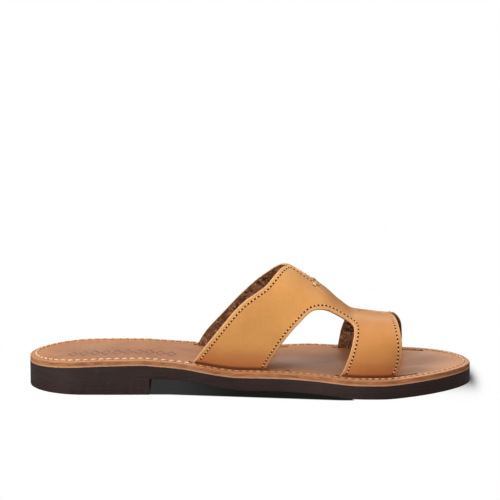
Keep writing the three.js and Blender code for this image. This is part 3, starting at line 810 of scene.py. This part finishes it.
def slit_spans():
    for half in (MEDIAL, LATERAL):
        for behind, ahead in (("rear", "window rear"), ("window front", "front")):
            start = half[behind][0][0] * LENGTH - SLIT_BEHIND
            end = half[ahead][0][0] * LENGTH + SLIT_SPARE
            yield half["side"], start, end


def distance_to_edge(points):
    """Distance in plan from each point to the sole's edge."""
    ring, _ = outline(stations(0, 1))
    start, end = ring, np.roll(ring, -1, axis=0)
    along = end - start
    lengths = (along ** 2).sum(axis=1)
    found = []
    for point in points:
        share = np.clip(((point - start) * along).sum(axis=1) / lengths, 0, 1)
        nearest = start + along * share[:, None]
        found.append(np.sqrt(((point - nearest) ** 2).sum(axis=1)).min())
    return np.array(found)


INSOLE_INSET = 0.1         # the insole's side stands back from the outsole's
FACE_INSETS = (3.0, 7.0, 12.0)


def cut_slit(piece, side, start, end):
    """The piece's mesh with one slit cut through it."""
    corners, faces = slit_cutter(side, start, end)
    mesh = bpy.data.meshes.new("slit")
    mesh.from_pydata(((np.array(corners) - ORIGIN) * MM).tolist(), [], faces)
    for material in piece.data.materials:
        mesh.materials.append(material)
    mesh.polygons.foreach_set("material_index", [SIDE_SLOT] * len(mesh.polygons))
    cutter = bpy.data.objects.new("slit", mesh)
    bpy.context.scene.collection.objects.link(cutter)
    cut = piece.modifiers.new("slit", "BOOLEAN")
    cut.operation = "DIFFERENCE"
    cut.solver = "EXACT"
    cut.object = cutter
    bpy.context.view_layer.update()
    evaluated = piece.evaluated_get(bpy.context.evaluated_depsgraph_get())
    result = bpy.data.meshes.new_from_object(evaluated)
    piece.modifiers.remove(cut)
    bpy.data.objects.remove(cutter)
    return result


def make_insole():
    levels = [(fixed(INSOLE_INSET), insole_bottom)]
    levels += rounded_above(SOLE_ROUNDING, seat, INSOLE_INSET)
    levels += [(fixed(distance), seat) for distance in FACE_INSETS]
    band_slots = [SIDE_SLOT] * 4 + [GRAIN_SLOT] * (len(levels) - 5)
    piece = sole_piece("insole_leather", 0, 1, levels, [insole_grain(), insole_side()],
                       "insole", band_slots, (SIDE_SLOT, GRAIN_SLOT))
    for side, start, end in slit_spans():
        piece.data = cut_slit(piece, side, start, end)
    piece.data.name = "insole_leather"
    smooth(piece, SHARP["sole"])
    points = np.array([vertex.co[:] for vertex in piece.data.vertices]) / MM + ORIGIN
    store(piece, "rim", distance_to_edge(points[:, :2]))
    store(piece, "up", [(z - insole_bottom(x)) / INSOLE for x, _, z in points])


# Stitches: how far apart they are, the thread's width and height, its share of the pitch and the
# size of the holes, in millimetres

STRAP_STITCH = {"pitch": 2.3, "thread": (0.66, 0.40), "share": 0.46, "hole": 1.35}
HEEL_STITCH = {"pitch": 4.4, "thread": (1.1, 0.8), "share": 0.68, "hole": 0.8}
WAIST_STITCH = {"pitch": 4.0, "thread": (0.7, 0.3), "share": 0.55, "hole": 0.9}
TOE_STITCH = {"pitch": 3.6, "thread": (0.8, 0.5), "share": 0.62, "hole": 1.5}
THREAD_SIDES = 8
THREAD_RINGS = 6
HOLE_SIDES = 10
HOLE_MIDDLE = 0.10                              # how far a hole's middle stands proud
HOLE_RINGS = ((0.6, 0.08), (1.0, -0.05))        # its rings: share of the size and height


def capsule(start, end, up, width, height):
    """A thread lying between two points: an ellipse swept in an arch, with its ends going down."""
    axis = end - start
    length = np.linalg.norm(axis)
    axis = axis / length
    across = np.cross(axis, up)
    across /= np.linalg.norm(across)
    lift = np.cross(across, axis)
    corners = []
    faces = []
    for ring in range(THREAD_RINGS + 1):
        turn = math.pi * ring / THREAD_RINGS
        swell = max(math.sin(turn), 0.0) ** 0.45
        middle = start + axis * length * (1 - math.cos(turn)) / 2
        middle = middle + lift * height * (0.15 + 0.35 * math.sin(turn))
        for side in range(THREAD_SIDES):
            angle = 2 * math.pi * side / THREAD_SIDES
            corners.append(middle + swell * (across * width / 2 * math.cos(angle)
                                             + lift * height / 2 * math.sin(angle)))
    for ring in range(THREAD_RINGS):
        low, high = ring * THREAD_SIDES, (ring + 1) * THREAD_SIDES
        for side in range(THREAD_SIDES):
            after = (side + 1) % THREAD_SIDES
            faces.append([low + side, low + after, high + after, high + side])
    return corners, faces


def dimple(middle, up, along, size):
    """An awl hole: a lens just proud of the leather, longer along the seam, painted dark as the shade inside
    the hole.
    """
    across = np.cross(up, along)
    across /= np.linalg.norm(across)
    along = np.cross(across, up)
    corners = [middle + up * HOLE_MIDDLE]
    for share, lift in HOLE_RINGS:
        for side in range(HOLE_SIDES):
            angle = 2 * math.pi * side / HOLE_SIDES
            corners.append(middle + up * lift + share * size * (along * 0.55 * math.cos(angle)
                                                                + across * 0.45 * math.sin(angle)))
    faces = [[0, 1 + side, 1 + (side + 1) % HOLE_SIDES] for side in range(HOLE_SIDES)]
    for side in range(HOLE_SIDES):
        after = (side + 1) % HOLE_SIDES
        faces.append([1 + side, 1 + HOLE_SIDES + side, 1 + HOLE_SIDES + after, 1 + after])
    return corners, faces


class Joined:
    """Many small forms joined into one mesh."""

    def __init__(self):
        self.corners = []
        self.faces = []

    def add(self, corners, faces):
        base = len(self.corners)
        self.corners += [np.asarray(corner) for corner in corners]
        self.faces += [[base + k for k in face] for face in faces]

    def make(self, name, material):
        piece = new_object(name, self.corners, self.faces, [material])
        smooth(piece, SHARP["thread"])


def stitch_row(points, surface, kind, threads, holes):
    """Stitches and awl holes along a path, laid on a surface given as a tree of faces."""
    total = np.linalg.norm(np.diff(points, axis=0), axis=1).sum()
    count = max(1, round(total / kind["pitch"]))
    seats = []
    for point in resample(points, count):
        place, normal, _, _ = surface.find_nearest(Vector(point))
        seats.append((np.array(place), np.array(normal)))
    for (start, up_a), (end, up_b) in zip(seats[:-1], seats[1:]):
        up = up_a + up_b
        up /= np.linalg.norm(up)
        along = end - start
        middle = (start + end) / 2
        half = along * kind["share"] / 2
        along = along / np.linalg.norm(along)
        threads.add(*capsule(middle - half, middle + half, up, *kind["thread"]))
        holes.add(*dimple(start, up_a, along, kind["hole"]))
    holes.add(*dimple(*seats[-1], along, kind["hole"]))


INSOLE_SEAM = 3.5              # sole edge to the seam round the insole
SEAM_CHANGES = (92.0, 186.0)   # on the medial side it is faint from the first length to the second
PUNCH = {"size": 2.2, "past": 0.6}      # the round hole at a slit's ends
SURFACE_STEPS = 300


def insole_surface():
    """The insole's face as a tree of faces, as wide as the sole or wider."""
    corners = [(x, y, seat(x)) for x in np.linspace(0, LENGTH, SURFACE_STEPS) for y in (-60, 60)]
    faces = [(2 * k, 2 * k + 2, 2 * k + 3, 2 * k + 1) for k in range(SURFACE_STEPS - 1)]
    return BVHTree.FromPolygons([Vector(corner) for corner in corners], faces)


def make_insole_stitches():
    """The seam all round the insole, between its edge and the slits, and the punched slit ends."""
    ring, _ = outline(stations(0, 1))
    plan = inset(ring, INSOLE_SEAM)
    path = np.column_stack([plan, [seat(x) for x in plan[:, 0]]])
    path = np.vstack([path, path[:1]])
    surface = insole_surface()
    threads = Joined()
    holes = Joined()
    waist, ball = (int(np.argmax(path[:, 0] > x)) for x in SEAM_CHANGES)
    tip = int(np.argmax(path[:, 0]))
    parts = ((path[:waist + 1], HEEL_STITCH), (path[tip:], HEEL_STITCH),
             (path[waist:ball + 1], WAIST_STITCH), (path[ball:tip + 1], TOE_STITCH))
    for points, kind in parts:
        stitch_row(points, surface, kind, threads, holes)
    for side, start, end in slit_spans():
        for x in (start - PUNCH["past"], end + PUNCH["past"]):
            middle = np.array([x, slit_line(x, side) + side * STRAP / 2, seat(x)])
            holes.add(*dimple(middle, np.array([0, 0, 1.0]), np.array([1.0, 0, 0]), PUNCH["size"]))
    threads.make("insole_stitches", thread("cream thread", tone(240, 212, 174), tone(212, 174, 132)))
    holes.make("insole_holes", hole_shade())


# The strap

def border_loops(faces):
    """The free edges of a sheet as closed rings of point numbers, in the faces' own direction."""
    directed = {}
    seen = set()
    for face in faces:
        for k, a in enumerate(face):
            seen.add((a, face[(k + 1) % len(face)]))
    for a, b in seen:
        if (b, a) not in seen:
            directed[a] = b
    loops = []
    while directed:
        start = next(iter(directed))
        loop = [start]
        following = directed.pop(start)
        while following != start:
            loop.append(following)
            following = directed.pop(following)
        loops.append(loop)
    return loops


# Soft troughs (depth below 0) and ridges of the strap, each along a line between two points of its
# form (at, girth), with its depth and half width in millimetres
CREASES = (
    {"line": ((0.545, -0.02), (0.665, 0.03)), "depth": -0.5, "wide": 4.5},
    {"line": ((0.425, -0.88), (0.520, -0.86)), "depth": 0.35, "wide": 5.0},
    {"line": ((0.440, -0.62), (0.520, -0.50)), "depth": -0.30, "wide": 6.0},
    {"line": ((0.735, -0.86), (0.815, -0.84)), "depth": 0.30, "wide": 4.0},
    {"line": ((0.740, -0.40), (0.825, -0.38)), "depth": -0.25, "wide": 5.0},
    {"line": ((0.430, 0.80), (0.510, 0.78)), "depth": 0.35, "wide": 5.0},
    {"line": ((0.750, 0.70), (0.830, 0.72)), "depth": -0.25, "wide": 5.0},
)


def crease_lines():
    return [(last_point(*crease["line"][0]), last_point(*crease["line"][1]), crease) for crease in CREASES]


def swell_of(point, normal, creases):
    """The unevenness of the leather, pushed along its normal: creases and a gentle swell."""
    depth = 0.20 * noise.noise(Vector(point) * 0.045)
    depth += 0.07 * noise.noise(Vector(point) * 0.13 + Vector((7, 3, 1)))
    for start, end, crease in creases:
        along = end - start
        share = min(max(np.dot(point - start, along) / np.dot(along, along), 0.0), 1.0)
        away = np.linalg.norm(point - start - share * along) / crease["wide"]
        depth += crease["depth"] * math.exp(-away * away)
    return normal * depth


STRAP_ROUNDING = 0.35
WALL_SHARES = (0.10, 0.30, 0.5, 0.70, 0.90)      # rows of the cut edge, from the flesh to the grain


def least_distance(point, others):
    return np.sqrt(((others - point) ** 2).sum(axis=1).min())


def outward_of(loops, surface, normals):
    """Directions away from the sheet along its free edges."""
    outward = np.zeros((len(surface), 3))
    for loop in loops:
        ring = surface[loop]
        along = np.roll(ring, -1, axis=0) - np.roll(ring, 1, axis=0)
        away = np.cross(along, normals[loop])
        outward[loop] = away / np.linalg.norm(away, axis=1)[:, None]
    return outward


def make_upper():
    pattern, faces = strap_sheet()
    inner = np.array([last_point(at, girth) for at, girth in pattern])
    normals = np.array([last_normal(at, girth) for at, girth in pattern])
    creases = crease_lines()
    for k, point in enumerate(inner):
        free = min(1.0, max(0.0, (point[2] - seat(point[0]) - 2) / 8))
        inner[k] = point + free * swell_of(point, normals[k], creases)
    outer = inner + normals * STRAP
    loops = border_loops(faces)
    outward = outward_of(loops, outer, normals)

    # The faces' rims draw back by the rounding, and the wall between them bulges
    count = len(pattern)
    on_border = [k for loop in loops for k in loop]
    shown = outer.copy()
    hidden = inner.copy()
    for rims in (shown, hidden):
        rims[on_border] -= outward[on_border] * STRAP_ROUNDING
    corners = [*hidden, *shown]
    depths = [0.0] * count + [1.0] * count
    all_faces = [face[::-1] for face in faces] + [[k + count for k in face] for face in faces]
    slots_of_faces = [2] * len(faces) + [0] * len(faces)
    for loop in loops:
        rows = [loop]
        for share in WALL_SHARES:
            base = len(corners)
            back = STRAP_ROUNDING * (1 - math.sqrt(max(0.0, 1 - (2 * share - 1) ** 2 * 0.9)))
            for k in loop:
                corners.append(inner[k] + normals[k] * STRAP * share - outward[k] * back)
                depths.append(share)
            rows.append([base + k for k in range(len(loop))])
        rows.append([k + count for k in loop])
        for low, high in zip(rows[:-1], rows[1:]):
            for k in range(len(loop)):
                after = (k + 1) % len(loop)
                all_faces.append([low[after], high[after], high[k], low[k]])
                slots_of_faces.append(1)
    border = np.concatenate([outer[loop] for loop in loops])
    rim = [least_distance(point, border) for point in outer]
    piece = new_object("upper_leather", corners, all_faces, [strap_grain(), strap_edge(), strap_flesh()],
                       "upper", slots_of_faces)
    smooth(piece, SHARP["strap"])
    store(piece, "rim", rim + rim + [0.0] * (len(corners) - 2 * count))
    store(piece, "depth", depths)
    store(piece, "foot", [point[2] - seat(point[0]) for point in corners])
    make_upper_stitches(loops, outward, outer, border, faces)


STITCH_INSET = 2.4
CLEAR_SHARE = 0.93             # of that inset, which a stitch keeps from every edge
SEAM_LOWEST = 2.0              # above the insole, where the seam ends
SEAM_BREAK = 6.0               # a longer step starts a new row
SEAMLESS = {"x": (180.0, 204.5), "y": (-22.0, 12.0)}      # the front band's top edge has no seam
BARTACK = {"at": (0.5055, 0.5085, 0.5115, 0.5145), "girth": (0.058, 0.128),
           "thread": (0.62, 0.75), "hole": 1.1}


def seamless(name, value):
    low, high = SEAMLESS[name]
    return low < value < high


def seam_rows(path, border):
    """The stretches of a path beside one free edge that carry a seam."""
    above = [point[2] > seat(point[0]) + SEAM_LOWEST for point in path]
    keep = [above[k] and not (seamless("x", point[0]) and seamless("y", point[1]))
            and least_distance(point, border) > STITCH_INSET * CLEAR_SHARE
            for k, point in enumerate(path)]
    total = len(path)
    first = next((k for k in range(total) if keep[k] and not keep[k - 1]), 0)
    rows = [[]]
    for k in [(first + step) % total for step in range(total)]:
        if keep[k]:
            if rows[-1] and np.linalg.norm(path[k] - rows[-1][-1]) > SEAM_BREAK:
                rows.append([])
            rows[-1].append(path[k])
        elif not above[k]:
            rows.append([])
    return [np.array(row) for row in rows if len(row) > 2]


def make_upper_stitches(loops, outward, outer, border, faces):
    """The seam along the strap's free edges, down to just above the insole, and its two bars of
    close stitches at the bottom of the back notch."""
    surface = BVHTree.FromPolygons([Vector(point) for point in outer], faces)
    threads = Joined()
    holes = Joined()
    for loop in loops:
        for row in seam_rows(outer[loop] - outward[loop] * STITCH_INSET, border):
            stitch_row(row, surface, STRAP_STITCH, threads, holes)
    for side in (-1, 1):
        for at in BARTACK["at"]:
            start, end = (last_point(at, side * girth) + last_normal(at, side * girth) * STRAP
                          for girth in BARTACK["girth"])
            up = last_normal(at, side * sum(BARTACK["girth"]) / 2)
            threads.add(*capsule(start, end, up, *BARTACK["thread"]))
            for middle in (start, end):
                holes.add(*dimple(middle, up, end - start, BARTACK["hole"]))
    threads.make("upper_stitches", thread("tan thread", tone(244, 206, 154), tone(220, 170, 116)))
    holes.make("upper_holes", bpy.data.materials["hole"])


# Light, floor and camera

LIT_SPOT = (0, 0, 0.03)
LIGHTS = {
    "key": {"place": (-0.95, -1.05, 0.80), "size": (1.0, 0.8), "power": 25.0},
    "top": {"place": (0.35, -0.10, 1.20), "size": (0.8, 0.8), "power": 4.0},
    "back": {"place": (0.10, 0.90, 0.75), "size": (0.9, 0.35), "power": 2.5},
}

# The surroundings' strength by the height of the direction, from the first height to the second
SKY = {"heights": (0.10, 0.75), "strengths": (0.13, 0.46)}


def make_light():
    for name, light in LIGHTS.items():
        data = bpy.data.lights.new(name, "AREA")
        data.shape = "RECTANGLE"
        data.size, data.size_y = light["size"]
        data.energy = light["power"]
        lamp = bpy.data.objects.new(name, data)
        bpy.context.scene.collection.objects.link(lamp)
        lamp.location = light["place"]
        direction = Vector(LIT_SPOT) - lamp.location
        lamp.rotation_euler = direction.to_track_quat("-Z", "Y").to_euler()
    world = bpy.data.worlds.new("world")
    bpy.context.scene.world = world
    world.use_nodes = True
    n = Nodes(world.node_tree, "Generated")
    _, _, height = n.axes()
    sky = n.span(height, *SKY["heights"], *SKY["strengths"])
    color = n.mix(n.seen(1.0, 0.0), sky, (1, 1, 1, 1))
    n.link(color, world.node_tree.nodes["Background"].inputs["Color"])
    bpy.context.scene.view_settings.view_transform = "Standard"


# Where the floor shows its shade, in the sole's millimetres: beyond a line from the heel to the
# ball, and in an oval past the toe
WAIST_SHADE = {"x": (80.0, 176.0), "y": (-29.2, -43.0), "start": 40.0, "end": 182.0, "far": 20.0}
WAIST_LIGHT = {"x": (84.0, 118.0), "strengths": (0.034, 0.011)}
TOE_SHADE = {"x": 251.0, "y": 14.0, "ahead": 4.4, "behind": 25.0, "deep": 25.0, "share": 0.95}
FLOOR_REACH = 6.0


def floor_shade(n, along, across):
    """How much of its white the floor loses, from 0 to 1."""
    near = n.math("SUBTRACT", across, n.span(along, *WAIST_SHADE["x"], *WAIST_SHADE["y"]))
    waist = n.math("MULTIPLY", n.span(near, -0.8, 0.8),
                   n.span(across, WAIST_SHADE["far"] + 4, WAIST_SHADE["far"]))
    waist = n.math("MULTIPLY", waist, n.span(along, WAIST_SHADE["start"], WAIST_SHADE["start"] + 1))
    waist = n.math("MULTIPLY", waist, n.span(along, WAIST_SHADE["end"] + 2, WAIST_SHADE["end"]))
    right = n.math("SUBTRACT", along, TOE_SHADE["x"])
    right = n.math("MAXIMUM", n.math("DIVIDE", right, TOE_SHADE["ahead"]),
                   n.math("DIVIDE", right, -TOE_SHADE["behind"]))
    deep = n.math("DIVIDE", n.math("SUBTRACT", across, TOE_SHADE["y"]), TOE_SHADE["deep"])
    away = n.math("ADD", n.math("MULTIPLY", right, right), n.math("MULTIPLY", deep, deep))
    toe = n.math("MULTIPLY", n.math("EXPONENT", n.math("MULTIPLY", away, -1.0)), TOE_SHADE["share"])
    return n.math("MAXIMUM", waist, toe)


def make_floor():
    """A floor that is plain white to the camera, but for the shade under the waist and past the toe."""
    mesh = bpy.data.meshes.new("floor")
    corners = [(x * FLOOR_REACH, y * FLOOR_REACH, 0) for x, y in ((-1, -1), (1, -1), (1, 1), (-1, 1))]
    mesh.from_pydata(corners, [], [(0, 1, 2, 3)])
    n = Material("floor")
    along, across = n.plan()
    shade = floor_shade(n, along, across)
    least = n.math("MULTIPLY", shade, n.span(along, *WAIST_LIGHT["x"], *WAIST_LIGHT["strengths"]))
    white = n.math("ADD", n.math("SUBTRACT", 1.0, shade), least)
    n.shader.inputs["Emission Color"].default_value = (1, 1, 1, 1)
    n.link(n.math("MULTIPLY", white, n.seen(1.0, 0.0)), n.shader.inputs["Emission Strength"])
    color = n.mix(n.seen(1.0, 0.0), (0.42, 0.40, 0.39, 1), (0, 0, 0, 1))
    mesh.materials.append(n.finish(color, 0.9, specular=0.0))
    floor = bpy.data.objects.new("floor", mesh)
    bpy.context.scene.collection.objects.link(floor)


# The photograph's frame: how many pixels a millimetre at the target takes, and where that lies
PICTURE = 500
PIXELS_PER_MM = 1.768
CAMERA_DISTANCE = 1500.0
ELEVATION = math.radians(10.4)
TARGET = (125.3, 0.0, 77.0)
SENSOR = 36.0


def make_camera():
    data = bpy.data.cameras.new("camera")
    data.sensor_width = SENSOR
    data.lens = SENSOR * CAMERA_DISTANCE * PIXELS_PER_MM / PICTURE
    camera = bpy.data.objects.new("camera", data)
    bpy.context.scene.collection.objects.link(camera)
    target = (np.array(TARGET) - ORIGIN) * MM
    back = np.array([0, -math.cos(ELEVATION), math.sin(ELEVATION)])
    camera.location = target + back * CAMERA_DISTANCE * MM
    camera.rotation_euler = (math.pi / 2 - ELEVATION, 0, 0)
    bpy.context.scene.camera = camera


make_camera()
make_floor()
make_light()
make_rubber_soles()
make_insole()
make_insole_stitches()
make_upper()
